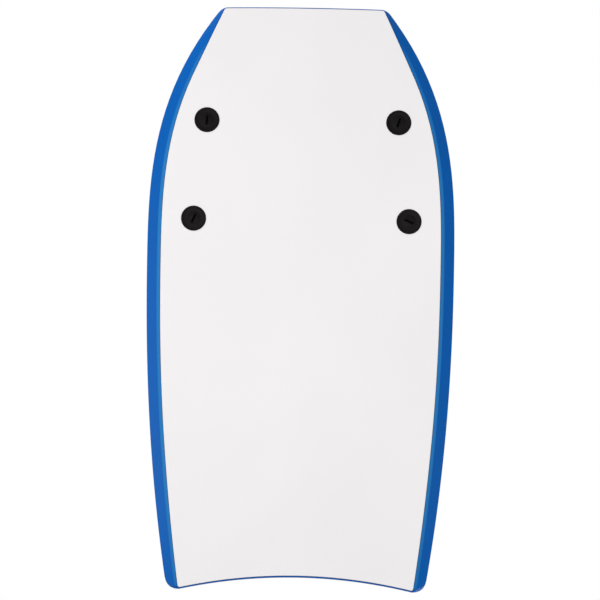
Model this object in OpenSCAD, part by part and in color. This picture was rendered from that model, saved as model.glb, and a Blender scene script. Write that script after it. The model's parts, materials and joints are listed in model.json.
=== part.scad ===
// Prone-riding bodyboard with a crescent tail, four through-plugs and two padded deck handles.
// Frame: the slick bottom lies on z = 0 with the deck up, +Y runs to the nose and +X to the rider's right.

/* [Board outline] */
// Length from the nose edge to the tail corners
board_length = 1041; // [940:1:1140]
// Width at the widest point, over the rails
board_width = 548; // [500:1:600]
// How far the widest point lies ahead of the middle
wide_point = 60; // [0:5:120]
// Width over the rails at the nose corners
nose_width = 290; // [250:1:330]
// Width over the rails at the tail corners
tail_width = 460; // [420:1:500]
// How full the front half of the outline stays before it curves in
nose_fullness = 2.9; // [2.2:0.1:3.6]
// How full the rear half of the outline stays before it curves in
tail_fullness = 2.2; // [1.6:0.1:2.8]
// Depth of the crescent cut into the tail
crescent_depth = 23.5; // [10:0.5:40]
// How far the nose edge bows forward
nose_bow = 1.5; // [0.5:0.5:8]
// Corner radius of the nose, over the rails
nose_corner = 9; // [6:1:14]
// Corner radius of the tail, over the rails
tail_corner = 22; // [14:1:26]

/* [Board profile] */
// Thickness between the slick and the deck at the middle
board_thickness = 55; // [48:1:64]
// Thickness at the nose
nose_thickness = 38; // [30:1:46]
// Thickness at the tail
tail_thickness = 45; // [38:1:55]
// How far the nose curves up from the flat
nose_lift = 45; // [20:1:60]
// Where the bottom starts to curve up, measured from the middle towards the tail
rocker_start = 50; // [0:5:120]
// How gently the curve sets in
rocker_power = 2.2; // [2:0.1:2.6]

/* [Rails] */
// How far the rail stands outside the slick
rail_reach = 24.5; // [18:0.5:30]
// Share of that reach left at the nose corners
nose_reach_share = 0.31; // [0.25:0.01:0.6]
// Share of that reach left at the tail corners
tail_reach_share = 0.86; // [0.7:0.01:1]
// Width of the lower bevel beside the slick
bevel_width = 7; // [4:0.5:10]
// Height of the lower bevel
bevel_height = 5.5; // [4:0.5:8]
// Height of the rail's widest line at the middle of the board
apex_height = 30; // [24:1:34]
// Thickness of the rail foam at its widest line
rail_wall = 6; // [4:0.5:8]
// How far the deck panel's edge lies inside the rail's widest line
deck_inset = 25; // [20:1:32]

/* [Skins] */
// Thickness of the slick bottom sheet
slick_thickness = 1.2; // [0.8:0.1:2]
// Thickness of the foam sheet under the slick
underlay_thickness = 3; // [2:0.5:4]
// Thickness of the deck foam
deck_thickness = 4; // [3:0.5:6]
// Width of nose strip seen from below, ahead of the slick
nose_lip = 2; // [1:0.5:4]
// Width of tail strip seen from below, behind the slick
tail_lip = 4; // [1:0.5:6]

/* [Plugs] */
// How far the front plugs lie inside the board's widest line
front_plug_inset = 103; // [94:1:124]
// Distance of the front plugs ahead of the middle
front_plug_y = 317; // [280:1:330]
// How far the rear plugs lie inside the board's widest line
rear_plug_inset = 82; // [69:1:104]
// Distance of the rear plugs ahead of the middle
rear_plug_y = 141; // [110:1:150]
// Diameter of the discs on both faces
disc_diameter = 44.5; // [38:0.5:50]
// Thickness of a disc at its middle
disc_thickness = 3.2; // [2.6:0.1:4]
// How far the lower disc stands proud of the slick
disc_proud = 1.2; // [0.6:0.1:2]
// Width of the flat rim round a disc
disc_rim = 2.6; // [2:0.1:4]
// Depth of the dish inside the rim
dish_depth = 0.9; // [0.4:0.1:1.2]
// Diameter of the raised hub round the coin slot
hub_diameter = 19; // [17:0.5:24]
// Length of the coin slot
slot_length = 14; // [10:0.5:16]
// Width of the coin slot
slot_width = 3.4; // [2:0.1:3.8]
// Depth of the coin slot
slot_depth = 2.2; // [1.5:0.1:2.6]
// Diameter of the screw post on the lower disc
post_diameter = 10.8; // [9:0.1:13]
// Outer diameter of the barrel on the upper disc
barrel_diameter = 16; // [15:0.5:20]
// Running clearance between post, barrel and board, on the radius
plug_clearance = 0.3; // [0.2:0.05:0.5]

/* [Handles] */
// Width of the handle webbing where it lies flat
webbing_width = 32; // [28:1:38]
// Thickness of the handle webbing
webbing_thickness = 2.4; // [1.8:0.1:3]
// Height of the grip's middle above the clamped webbing
handle_height = 44; // [40:1:55]
// Diameter of the padded grip
grip_diameter = 28; // [24:1:30]
// Length of the padded grip
grip_length = 88; // [80:1:96]
// How far the clamped webbing presses into the deck foam
deck_press = 0.3; // [0.2:0.1:0.6]
// Gap between the swinging webbing and its fixed ends
swing_gap = 0.4; // [0.3:0.1:0.8]

/* [Hidden] */

$fn = 64;
fit = 0.01;             // overshoot that keeps cuts clean
right = 1;
left = -1;

white_slick = "#F0ECED";
white_foam = "#E4E4E2";
bead_foam = "#F7F7F4";
blue_rail = "#0F61AD";
blue_deck = "#1B6CB8";
black_plug = "#242122";
black_webbing = "#1C1C1F";
black_grip = "#26272B";

// Stations along the sides: every outline has a point at each of them, and the profile
// runs straight on past the first and the last, so the nose and tail ends are flat in profile.
// The last one lies ahead of the crescent's deepest point at every level.
front_station = board_length/2 - 24;
rear_station = -board_length/2 + crescent_depth + 18.5;
side_steps = 48;
shoulder_steps = 2;
corner_steps = 5;
edge_steps = 8;
crescent_steps = 12;

// Where the ends grow thinner and the rails grow narrower
nose_taper_start = front_plug_y + disc_diameter/2 + 2;
tail_taper_start = -board_length/2 + 210;
nose_rail_start = front_station - 96;
tail_rail_start = -250;
nose_taper_power = 1.5;
tail_taper_power = 1.5;
least_corner = 3;
nose_deck_round = 12;   // depth of the rounding from the nose edge up to the deck
tail_deck_round = 14;
rail_round_steps = 4;

// A power curve that leaves 0 gently and runs straight on past its end at 1
function bend(t, power) = t <= 0 ? 0 : t <= 1 ? pow(t, power) : 1 + power*(t - 1);

function lift(y) =
    nose_lift*bend((y + rocker_start)/(front_station + rocker_start), rocker_power);
function thickness(y) =
    board_thickness
    - (board_thickness - nose_thickness)
      *bend((y - nose_taper_start)/(front_station - nose_taper_start), nose_taper_power)
    - (board_thickness - tail_thickness)
      *bend((tail_taper_start - y)/(tail_taper_start - rear_station), tail_taper_power);

// Half the width over the rails
function outer_half(y) =
    y >= wide_point
    ? board_width/2 - (board_width - nose_width)/2
      *pow((y - wide_point)/(board_length/2 - wide_point), nose_fullness)
    : board_width/2 - (board_width - tail_width)/2
      *pow((wide_point - y)/(board_length/2 + wide_point), tail_fullness);

// How much of the rail's reach is left
function reach_share(y) =
    1 - (1 - nose_reach_share)*pow(max(0, y - nose_rail_start)/(front_station + 16 - nose_rail_start), 2)
    - (1 - tail_reach_share)*pow(max(0, tail_rail_start - y)/(board_length/2 + tail_rail_start), 2);

// A level is one line round the board:
// [inside the rail line where it tapers, inside it where it doesn't, inside the nose edge,
//  inside the tail edge, height above the slick, height as a share of the thickness]
apex_share = apex_height/board_thickness;
bevel_share = 1 - bevel_width/rail_reach;
core_height = slick_thickness + underlay_thickness;

slick_bottom = [rail_reach, 0, nose_lip, tail_lip, 0, 0];
slick_top = [rail_reach, 0, nose_lip, tail_lip, slick_thickness, 0];
core_bottom = [rail_reach, 0, nose_lip, tail_lip, core_height, 0];
bevel_top = [rail_reach*bevel_share, 0, nose_lip*bevel_share/2, tail_lip*bevel_share/2,
             bevel_height, 0];
apex_outer = [0, 0, 0, 0, 0, apex_share];
apex_inner = [0, rail_wall, rail_wall, rail_wall, 0, apex_share];
core_top = [0, deck_inset, nose_deck_round, tail_deck_round, -deck_thickness, 1];
deck_edge = [0, deck_inset, nose_deck_round, tail_deck_round, 0, 1];

// The rail's upper face, an elliptical quarter from the widest line up to the deck
function upper_rail(k) =
    let (turn = 90*k/rail_round_steps, inside = 1 - cos(turn))
    [0, deck_inset*inside, nose_deck_round*inside, tail_deck_round*inside,
     0, apex_share + (1 - apex_share)*sin(turn)];

function half_at(level, y) = outer_half(y) - level[0]*reach_share(y) - level[1];

// A corner that leaves one edge and joins the next tangentially
function corner(from, tip, to) =
    [for (k = [0:corner_steps]) let (t = k/corner_steps)
        (1 - t)*(1 - t)*from + 2*t*(1 - t)*tip + t*t*to];

function nose_radius(level) =
    max(least_corner, nose_corner - max(level[1], level[0]*nose_reach_share));
function tail_radius(level) =
    max(least_corner, tail_corner - max(level[1], level[0]*tail_reach_share));

// The right half of a level, from the middle of the nose to the middle of the tail
function half_outline(level) =
    let (nose_y = board_length/2 - level[2],
         nose_r = nose_radius(level),
         nose_x = half_at(level, nose_y) - nose_r,
         nose_corner_y = nose_y - nose_bow,
         shoulder_y = nose_corner_y - nose_r,
         tail_y = -board_length/2 + level[3],
         tail_r = tail_radius(level),
         tail_x = half_at(level, tail_y) - tail_r,
         heel_y = tail_y + tail_r)
    concat(
        [for (k = [0:edge_steps - 1]) let (t = k/edge_steps)
            [nose_x*t, nose_y - nose_bow*t*t]],
        corner([nose_x, nose_corner_y], [half_at(level, nose_corner_y), nose_corner_y],
               [half_at(level, shoulder_y), shoulder_y]),
        [for (k = [1:shoulder_steps]) let (y = shoulder_y
            + (front_station - shoulder_y)*k/(shoulder_steps + 1)) [half_at(level, y), y]],
        [for (k = [0:side_steps]) let (y = front_station
            + (rear_station - front_station)*k/side_steps) [half_at(level, y), y]],
        [for (k = [1:shoulder_steps]) let (y = rear_station
            + (heel_y - rear_station)*k/(shoulder_steps + 1)) [half_at(level, y), y]],
        corner([half_at(level, heel_y), heel_y], [half_at(level, tail_y), tail_y],
               [tail_x, tail_y]),
        [for (k = [1:crescent_steps]) let (t = 1 - k/crescent_steps)
            [tail_x*t, tail_y + crescent_depth*(1 - t*t)]]);

half_count = edge_steps + 2*(corner_steps + 1) + 2*shoulder_steps + side_steps + 1 + crescent_steps;
ring_count = 2*half_count - 2;
nose_seam = edge_steps;
first_side = edge_steps + corner_steps + 1 + shoulder_steps;
last_side = first_side + side_steps;
tail_seam = last_side + shoulder_steps + corner_steps + 1;

// A whole level, clockwise seen from above, starting at the middle of the nose
function ring(level) =
    let (half = half_outline(level),
         around = concat(half, [for (k = [half_count - 2:-1:1]) [-half[k].x, half[k].y]]))
    [for (p = around) [p.x, p.y, lift(p.y) + level[4] + level[5]*thickness(p.y)]];

function mirrored(k) = (ring_count - k)%ring_count;

// Faces between two lines of points that start at a and b, with the diagonal always
// running from the lower line's point to the upper line's next point
function wall(a, b, steps, rising, count) =
    [for (i = [0:steps - 1]) let (j = (i + 1)%count)
        each rising ? [[a + i, a + j, b + j], [a + i, b + j, b + i]]
                    : [[a + i, a + j, b + i], [a + j, b + j, b + i]]];

// Between the last station and the tail, triangles on the right half: from the side and the
// corner to the corner's end, and from the station to the crescent
tail_half = concat([for (k = [last_side:tail_seam - 2]) [k, k + 1, tail_seam]],
                   [for (k = [tail_seam:half_count - 2]) [last_side, k, k + 1]]);

// The faces that close a level, which are strips across the board as far as the last station
function closing(start, up) =
    let (strips = [for (k = [1:last_side - 1]) [k, k + 1, mirrored(k + 1), mirrored(k)]],
         tail_left = [for (face = tail_half) [for (n = [2:-1:0]) mirrored(face[n])]],
         all_faces = concat([[0, 1, mirrored(1)]], strips, tail_half,
                            [[last_side, half_count - 1, mirrored(last_side)]], tail_left))
    [for (face = all_faces) up ? [for (k = face) start + k]
                               : [for (n = [len(face) - 1:-1:0]) start + face[n]]];

// A panel or block through a stack of levels, lowest first
module slab(levels) {
    top = len(levels) - 1;
    polyhedron(
        points = [for (level = levels) each ring(level)],
        faces = concat(
            closing(0, false),
            [for (n = [0:top - 1])
                each wall(n*ring_count, (n + 1)*ring_count, ring_count, true, ring_count)],
            closing(top*ring_count, true)));
}

// A strip along part of the edge: rising levels up its outer face, then falling levels down its
// back. Each cut end is closed by fans of triangles, [hub level, levels in turn].
module edge_strip(rising_levels, falling_levels, fans, from, to) {
    levels = concat(rising_levels, falling_levels);
    turns = len(levels);
    count = to - from + 1;
    rings = [for (level = levels) ring(level)];
    cut_end = [for (fan = fans) for (n = [0:len(fan[1]) - 2]) [fan[0], fan[1][n], fan[1][n + 1]]];
    polyhedron(
        points = [for (r = rings) each [for (k = [from:to]) r[k%ring_count]]],
        faces = concat(
            [for (n = [0:turns - 1])
                each wall(n*count, ((n + 1)%turns)*count, count - 1,
                          n < len(rising_levels) - 1, count + 1)],
            [for (face = cut_end) [for (n = face) n*count]],
            [for (face = cut_end) [for (n = [2:-1:0]) (face[n] + 1)*count - 1]]));
}

lower_rise = [slick_bottom, bevel_top, apex_outer];
lower_fall = [apex_inner, core_bottom];
upper_rise = concat([apex_inner], [for (k = [0:rail_round_steps]) upper_rail(k)]);
upper_fall = [core_top];

module lower_rail(from, to)
    edge_strip(lower_rise, lower_fall, [[4, [0, 1, 2, 3]]], from, to);
module upper_rail_strip(from, to)
    edge_strip(upper_rise, upper_fall, [[0, [for (k = [1:rail_round_steps + 2]) k]]], from, to);

// Both strips of one end are one piece of foam
module end_strip(from, to) {
    strips = concat(lower_rise, [for (k = [1:rail_round_steps]) upper_rail(k)]);
    inner = len(strips) + 1;
    edge_strip(strips, [core_top, apex_inner, core_bottom],
               [[inner + 1, [0, 1, 2, inner]], [inner, [for (k = [2:inner - 1]) k]]], from, to);
}

// Plugs: the axis stands square to the slick, and the thickness is measured along it
function slope(y) = atan((lift(y + 1) - lift(y - 1))/2);
function plug_spot(front, side) =
    let (inset = front ? front_plug_inset : rear_plug_inset)
    [side*(board_width/2 - inset), front ? front_plug_y : rear_plug_y];
function through(y) = thickness(y)*cos(slope(y));

module at_plug(front, side) {
    spot = plug_spot(front, side);
    translate([spot.x, spot.y, lift(spot.y)]) rotate([slope(spot.y), 0, 0]) children();
}

disc_bed = disc_thickness - disc_proud;      // how deep the lower disc sits in the bottom
webbing_bed = deck_press;                    // how deep the webbing sits in the deck
hole_radius = barrel_diameter/2 + plug_clearance;
barrel_end = disc_bed + 2.5;                 // the barrel stops short of the lower disc
post_end_gap = 6;                            // the post stops short of the upper disc's skin

module plug_holes() {
    for (front = [true, false], side = [right, left]) at_plug(front, side)
        translate([0, 0, -board_thickness]) cylinder(r = hole_radius, h = 3*board_thickness);
}

module disc_seats() {
    for (front = [true, false], side = [right, left]) at_plug(front, side)
        translate([0, 0, disc_bed - board_thickness])
            cylinder(d = disc_diameter + 2*plug_clearance, h = board_thickness);
}

module webbing_seats() {
    for (front = [true, false], side = [right, left]) at_plug(front, side)
        translate([0, 0, through(plug_spot(front, side).y) - webbing_bed])
            rotate([0, 0, strap_heading(front, side)])
                linear_extrude(board_thickness)
                    webbing_outline(webbing_width/2 + 2*plug_clearance, foot_length + seat_run_on);
}

// A dished disc: rim, dish and hub, turned about the plug's axis
module dished_disc(hub) {
    edge = 0.8;
    radius = disc_diameter/2;
    rotate_extrude()
        polygon([[0, disc_thickness], [radius, disc_thickness], [radius, edge],
                 [radius - edge, 0], [radius - disc_rim, 0],
                 [radius - disc_rim - dish_depth, dish_depth],
                 [hub/2 + dish_depth, dish_depth], [hub/2, 0], [0, 0]]);
}

module plug_base(front, side, slot_turn) {
    spot = plug_spot(front, side);
    webbing_top = through(spot.y) - webbing_bed + webbing_thickness;
    color(black_plug) at_plug(front, side) difference() {
        union() {
            translate([0, 0, -disc_proud]) dished_disc(hub_diameter);
            cylinder(d = post_diameter, h = webbing_top - post_end_gap);
        }
        rotate([0, 0, slot_turn])
            translate([-slot_length/2, -slot_width/2, -disc_proud - fit])
                cube([slot_length, slot_width, slot_depth + fit]);
    }
}

module plug_cap(front, side) {
    spot = plug_spot(front, side);
    webbing_top = through(spot.y) - webbing_bed + webbing_thickness;
    bore_end = webbing_top - post_end_gap + 2;
    color(black_plug) at_plug(front, side) difference() {
        union() {
            translate([0, 0, webbing_top + disc_thickness]) mirror([0, 0, 1])
                dished_disc(hub_diameter);
            translate([0, 0, barrel_end])
                cylinder(d = barrel_diameter, h = webbing_top - barrel_end + fit);
        }
        cylinder(r = post_diameter/2 + plug_clearance, h = bore_end);
    }
}

// Handles: the swing axis joins the two places where the webbing is clamped
function clamp_point(front, side) =
    let (spot = plug_spot(front, side), tilt = slope(spot.y),
         out = through(spot.y) - webbing_bed + webbing_thickness/2)
    [spot.x, spot.y - out*sin(tilt), lift(spot.y) + out*cos(tilt)];
function clamp_run(side) = clamp_point(true, side) - clamp_point(false, side);
clamp_spacing = norm(clamp_run(right));
function handle_turn(side) = atan2(-clamp_run(side).x, clamp_run(side).y);
handle_pitch = asin(clamp_run(right).z/clamp_spacing);

module at_handle(side) {
    translate((clamp_point(true, side) + clamp_point(false, side))/2)
        rotate([0, 0, handle_turn(side)]) rotate([handle_pitch, 0, 0]) children();
}

// The way from a plug along its own tilted plane to the other plug of its handle
function strap_heading(front, side) =
    let (run = (front ? -1 : 1)*clamp_run(side), tilt = slope(plug_spot(front, side).y))
    atan2(-run.x, run.y*cos(tilt) + run.z*sin(tilt));

foot_length = disc_diameter/2 + 1.5;         // from the plug to where the webbing starts to rise
seat_run_on = 4.5;                           // the seat in the deck runs on past the rise's foot
foot_y = clamp_spacing/2 - foot_length;
crown_y = grip_length/2;
folded_width = webbing_width/2;              // the webbing is folded double inside the grip
folded_thickness = 2*webbing_thickness;
split = 0.55;                                // share of the rise that stays with the clamped end
split_lap = 0.2;                             // share of the rise drawn past the split, then cut off
split_y = foot_y - (foot_y - crown_y)*split;
rise_steps = 6;
swing_steps = 5;

function smooth(t) = t*t*(3 - 2*t);
function foot_drop(front) =
    foot_length*tan(abs(slope(front ? front_plug_y : rear_plug_y) - handle_pitch));

// One cross-section of the rising webbing, t = 0 at the foot and 1 at the grip, which
// leans with the rise; end is +1 towards the front plug and -1 towards the rear one
function webbing_section(t, end) =
    let (drop = foot_drop(end > 0),
         run = foot_y - crown_y,
         y = foot_y - run*t,
         z = (handle_height + drop)*smooth(t) - drop,
         lean = atan((handle_height + drop)*6*t*(1 - t)/run),
         fold = smooth(min(1, t/split)),
         half_w = (webbing_width + (folded_width - webbing_width)*fold)/2,
         half_t = (webbing_thickness + (folded_thickness - webbing_thickness)*fold)/2,
         dy = half_t*sin(lean),
         dz = half_t*cos(lean))
    [[-half_w, end*(y + dy), z + dz], [half_w, end*(y + dy), z + dz],
     [half_w, end*(y - dy), z - dz], [-half_w, end*(y - dy), z - dz]];

// A strip through four-cornered cross-sections
module strip(sections) {
    last = 4*(len(sections) - 1);
    polyhedron(
        points = [for (section = sections) each section],
        faces = concat(
            [[0, 1, 2, 3], [last + 3, last + 2, last + 1, last]],
            [for (n = [0:len(sections) - 2], k = [0:3]) let (a = 4*n + k, b = 4*n + (k + 1)%4)
                each [[a, b + 4, b], [a, a + 4, b + 4]]]));
}

// Flat webbing from its round end about the plug to where it starts to rise
module webbing_outline(half_w, run) {
    circle(r = half_w);
    translate([-half_w, 0]) square([2*half_w, run]);
}

module strap_end(front, side) {
    end = front ? 1 : -1;
    seat = through(plug_spot(front, side).y) - webbing_bed;
    sections = [for (k = [rise_steps:-1:0])
        webbing_section((split + split_lap)*k/rise_steps, end)];
    ordered = end > 0 ? sections : [for (k = [rise_steps:-1:0]) sections[k]];
    block = 2*clamp_spacing;
    color(black_webbing) union() {
        at_plug(front, side) translate([0, 0, seat])
            rotate([0, 0, strap_heading(front, side)])
                linear_extrude(webbing_thickness) difference() {
                    webbing_outline(webbing_width/2, foot_length + 0.4);
                    circle(r = hole_radius);
                }
        at_handle(side) intersection() {
            strip(ordered);
            translate([0, end*(split_y + block/2), 0]) cube(block, center = true);
        }
    }
}

module handle_strap(side) {
    start = split - split_lap;
    rear = [for (k = [0:swing_steps]) webbing_section(start + (1 - start)*k/swing_steps, -1)];
    front = [for (k = [swing_steps:-1:0]) webbing_section(start + (1 - start)*k/swing_steps, 1)];
    block = 2*clamp_spacing;
    color(black_webbing) at_handle(side) intersection() {
        strip(concat(rear, front));
        cube([block, 2*(split_y - swing_gap), block], center = true);
    }
}

module handle_grip(side) {
    color(black_grip) at_handle(side) translate([0, 0, handle_height]) difference() {
        rotate([90, 0, 0]) cylinder(d = grip_diameter, h = grip_length, center = true);
        cube([folded_width + 2*plug_clearance, grip_length + 2, folded_thickness], center = true);
    }
}

module core() {
    color(bead_foam) difference() {
        slab([core_bottom, apex_inner, core_top]);
        plug_holes();
    }
}

module slick_skin() {
    color(white_slick) difference() {
        slab([slick_bottom, slick_top]);
        disc_seats();
    }
}

module bottom_foam() {
    color(white_foam) difference() {
        slab([slick_top, core_bottom]);
        disc_seats();
        plug_holes();
    }
}

module deck_skin() {
    color(blue_deck) difference() {
        slab([core_top, deck_edge]);
        plug_holes();
        webbing_seats();
    }
}

module rail_lower_right() { color(blue_rail) lower_rail(nose_seam, tail_seam); }
module rail_lower_left() { color(blue_rail) lower_rail(mirrored(tail_seam), mirrored(nose_seam)); }
module rail_upper_right() { color(blue_rail) upper_rail_strip(nose_seam, tail_seam); }
module rail_upper_left() {
    color(blue_rail) upper_rail_strip(mirrored(tail_seam), mirrored(nose_seam));
}
module nose_strip() {
    color(blue_rail) end_strip(ring_count - nose_seam, ring_count + nose_seam);
}
module tail_strip() { color(blue_rail) end_strip(tail_seam, mirrored(tail_seam)); }

core();
slick_skin();
bottom_foam();
deck_skin();
rail_lower_right();
rail_lower_left();
rail_upper_right();
rail_upper_left();
nose_strip();
tail_strip();
plug_base(true, right, -85);  // plug_base_front_right
plug_base(true, left, -70);  // plug_base_front_left
plug_base(false, right, -65);  // plug_base_rear_right
plug_base(false, left, 22);  // plug_base_rear_left
plug_cap(true, right);  // plug_cap_front_right
plug_cap(true, left);  // plug_cap_front_left
plug_cap(false, right);  // plug_cap_rear_right
plug_cap(false, left);  // plug_cap_rear_left
strap_end(true, right);  // strap_end_front_right
strap_end(true, left);  // strap_end_front_left
strap_end(false, right);  // strap_end_rear_right
strap_end(false, left);  // strap_end_rear_left
handle_strap(right);  // handle_strap_right
handle_strap(left);  // handle_strap_left
handle_grip(right);  // handle_grip_right
handle_grip(left);  // handle_grip_left
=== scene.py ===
"""Finish for a prone-riding bodyboard: slick, deck and rails of welded foam, four screwed
through-plugs, and two padded webbing handles that swing on the deck."""

import json
import math

import bmesh
import bpy
from mathutils import Matrix, Vector


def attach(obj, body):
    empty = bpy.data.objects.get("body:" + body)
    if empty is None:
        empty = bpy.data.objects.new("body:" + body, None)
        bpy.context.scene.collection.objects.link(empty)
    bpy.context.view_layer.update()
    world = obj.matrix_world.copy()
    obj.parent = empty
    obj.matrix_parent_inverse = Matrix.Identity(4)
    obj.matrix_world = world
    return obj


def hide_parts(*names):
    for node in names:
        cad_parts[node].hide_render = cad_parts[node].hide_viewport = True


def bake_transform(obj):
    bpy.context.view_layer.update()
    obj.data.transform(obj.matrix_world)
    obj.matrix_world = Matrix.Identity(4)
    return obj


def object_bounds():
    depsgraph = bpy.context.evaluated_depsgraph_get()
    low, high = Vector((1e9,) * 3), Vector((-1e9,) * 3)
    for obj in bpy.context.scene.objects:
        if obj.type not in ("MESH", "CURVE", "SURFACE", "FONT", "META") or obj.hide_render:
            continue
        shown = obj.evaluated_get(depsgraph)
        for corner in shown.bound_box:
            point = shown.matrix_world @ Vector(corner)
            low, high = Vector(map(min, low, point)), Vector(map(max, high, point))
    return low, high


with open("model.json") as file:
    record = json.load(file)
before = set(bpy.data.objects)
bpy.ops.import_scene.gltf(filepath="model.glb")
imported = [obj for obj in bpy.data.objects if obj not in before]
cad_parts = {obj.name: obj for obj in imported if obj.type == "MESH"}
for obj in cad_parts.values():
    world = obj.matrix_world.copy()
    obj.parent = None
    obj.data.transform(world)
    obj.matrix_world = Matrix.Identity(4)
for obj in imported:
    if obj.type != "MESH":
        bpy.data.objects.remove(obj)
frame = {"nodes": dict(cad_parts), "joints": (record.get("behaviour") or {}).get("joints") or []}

bl_info = {
    "name": "Bodyboard finish",
    "version": (1, 0, 0),
    "blender": (4, 5, 0),
    "location": "View3D > Sidebar > Bodyboard",
    "description": "Builds the visible skins, plugs and handles of a bodyboard and its studio",
    "category": "Object",
}

CAD_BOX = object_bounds()
NODES = frame["nodes"]
CORNERS = ("front_right", "front_left", "rear_right", "rear_left")
SIDES = ("right", "left")
MM = 0.001


# ---------------------------------------------------------------- sizes and colours

class BodyboardSizes(bpy.types.PropertyGroup):
    seam_round: bpy.props.FloatProperty(
        name="Seam rounding", description="Rounding of the skins and strips where they meet",
        default=0.0006, min=0.0001, max=0.002, unit="LENGTH")
    chine_round: bpy.props.FloatProperty(
        name="Chine rounding", description="Rounding of the crease between the two lower rail faces",
        default=0.0011, min=0.0002, max=0.003, unit="LENGTH")
    slot_length: bpy.props.FloatProperty(
        name="Coin slot length", description="Length of the coin slot in a lower disc",
        default=0.0172, min=0.010, max=0.018, unit="LENGTH")
    slot_width: bpy.props.FloatProperty(
        name="Coin slot width", description="Width of the coin slot in a lower disc",
        default=0.0037, min=0.002, max=0.004, unit="LENGTH")
    webbing_width: bpy.props.FloatProperty(
        name="Webbing width", description="Width of the handle webbing where it lies flat",
        default=0.032, min=0.028, max=0.038, unit="LENGTH")
    webbing_thickness: bpy.props.FloatProperty(
        name="Webbing thickness", description="Thickness of one layer of webbing",
        default=0.0022, min=0.0018, max=0.003, unit="LENGTH")
    grip_length: bpy.props.FloatProperty(
        name="Grip length", description="Length of the padded grip",
        default=0.088, min=0.080, max=0.096, unit="LENGTH")
    grip_diameter: bpy.props.FloatProperty(
        name="Grip diameter", description="Diameter of the padded grip at its middle",
        default=0.028, min=0.024, max=0.030, unit="LENGTH")
    handle_height: bpy.props.FloatProperty(
        name="Handle height", description="Height of the grip's middle above its clamps",
        default=0.044, min=0.040, max=0.055, unit="LENGTH")


class BodyboardColours(bpy.types.PropertyGroup):
    slick: bpy.props.StringProperty(
        name="Slick", description="Colour of the slick bottom sheet", default="#F1EEEF")
    rail: bpy.props.StringProperty(
        name="Rails", description="Colour of the rail foam", default="#0062BC")
    # The rail bevel colour is a painted highlight: a paler blue laid on faces that look down, where
    # the light from below falls
    bevel: bpy.props.StringProperty(
        name="Rail bevel", description="Colour of the planed bevel beside the slick",
        default="#2E7FC2")
    deck: bpy.props.StringProperty(
        name="Deck", description="Colour of the deck foam", default="#1B6CB8")
    plug: bpy.props.StringProperty(
        name="Plugs", description="Colour of the moulded plugs", default="#151213")
    webbing: bpy.props.StringProperty(
        name="Webbing", description="Colour of the handle webbing", default="#232327")
    grip: bpy.props.StringProperty(
        name="Grips", description="Colour of the grip covers", default="#2B2C31")


def sizes():
    return bpy.context.scene.bodyboard_sizes


def colours():
    return bpy.context.scene.bodyboard_colours


# ---------------------------------------------------------------- modelling helpers

def only(*objects):
    """Select just these objects, the first one active."""
    if bpy.context.object and bpy.context.object.mode != "OBJECT":
        bpy.ops.object.mode_set(mode="OBJECT")
    bpy.ops.object.select_all(action="DESELECT")
    for obj in objects:
        obj.select_set(True)
    bpy.context.view_layer.objects.active = objects[0]
    return objects[0]


def edit(obj):
    only(obj)
    bpy.ops.object.mode_set(mode="EDIT")
    bpy.ops.mesh.select_mode(type="FACE")
    bpy.ops.mesh.select_all(action="DESELECT")


def close_edit():
    bpy.ops.object.mode_set(mode="OBJECT")


def pick(kind, test):
    """Select the faces, edges or vertices of the mesh being edited that pass a test."""
    mesh = bpy.context.object.data
    bm = bmesh.from_edit_mesh(mesh)
    bpy.ops.mesh.select_mode(type={"faces": "FACE", "edges": "EDGE", "verts": "VERT"}[kind])
    for element in getattr(bm, kind):
        element.select_set(bool(test(element)))
    bm.select_flush_mode()
    bmesh.update_edit_mesh(mesh)


def named(name):
    obj = bpy.context.object
    obj.name = name
    obj.data.name = name
    return obj


def modifier(obj, kind, **settings):
    """Add one modifier, set it and apply it."""
    only(obj)
    bpy.ops.object.modifier_add(type=kind)
    added = obj.modifiers[-1]
    for key, value in settings.items():
        setattr(added, key, value)
    bpy.ops.object.modifier_apply(modifier=added.name)


def smooth(obj, degrees=30):
    only(obj)
    bpy.ops.object.shade_smooth_by_angle(angle=math.radians(degrees))
    return obj


def apply_place(obj):
    """Leave an object unturned and unscaled at the origin, where it stands."""
    only(obj)
    bpy.ops.object.transform_apply(location=True, rotation=True, scale=True)
    return obj


def settle(obj, matrix):
    """Place an object by a matrix and apply it."""
    obj.matrix_world = matrix
    return apply_place(obj)


def twin(obj, name):
    """A copy with its own mesh."""
    only(obj)
    bpy.ops.object.duplicate(linked=False)
    return named(name)


def joined(name, *objects):
    only(*objects)
    bpy.ops.object.join()
    return named(name)


def discard(*objects):
    for obj in objects:
        bpy.data.objects.remove(obj)


def merged_copy(node, name, squares=False):
    """A copy of a CAD node's mesh with its loose triangles merged, in pairs where asked."""
    source = NODES[node]
    copy = source.copy()
    copy.data = source.data.copy()
    bpy.context.scene.collection.objects.link(copy)
    copy.parent = None
    for key in list(copy.keys()):
        del copy[key]
    copy.name = name
    copy.data.name = name
    copy.data.materials.clear()
    edit(copy)
    bpy.ops.mesh.select_all(action="SELECT")
    bpy.ops.mesh.remove_doubles(threshold=0.00001)
    if squares:
        bpy.ops.mesh.tris_convert_to_quads(face_threshold=math.radians(3),
                                           shape_threshold=math.radians(60))
    bpy.ops.mesh.select_all(action="SELECT")
    bpy.ops.mesh.normals_make_consistent(inside=False)
    close_edit()
    return copy


def paint(obj, *materials):
    obj.data.materials.clear()
    for material in materials:
        obj.data.materials.append(material)


def paint_picked(obj):
    """Give the picked faces the second material, and leave edit mode."""
    obj.active_material_index = 1
    bpy.ops.object.material_slot_assign()
    close_edit()


def fit_out(obj, body, slot, material, *nodes):
    """Give a finished piece its material and body, and hide the CAD nodes it stands for. The slot
    argument is not used.
    """
    if material is not None:
        paint(obj, material)
    if body:
        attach(obj, body)
    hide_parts(*nodes)
    return obj


# ---------------------------------------------------------------- where things are

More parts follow.
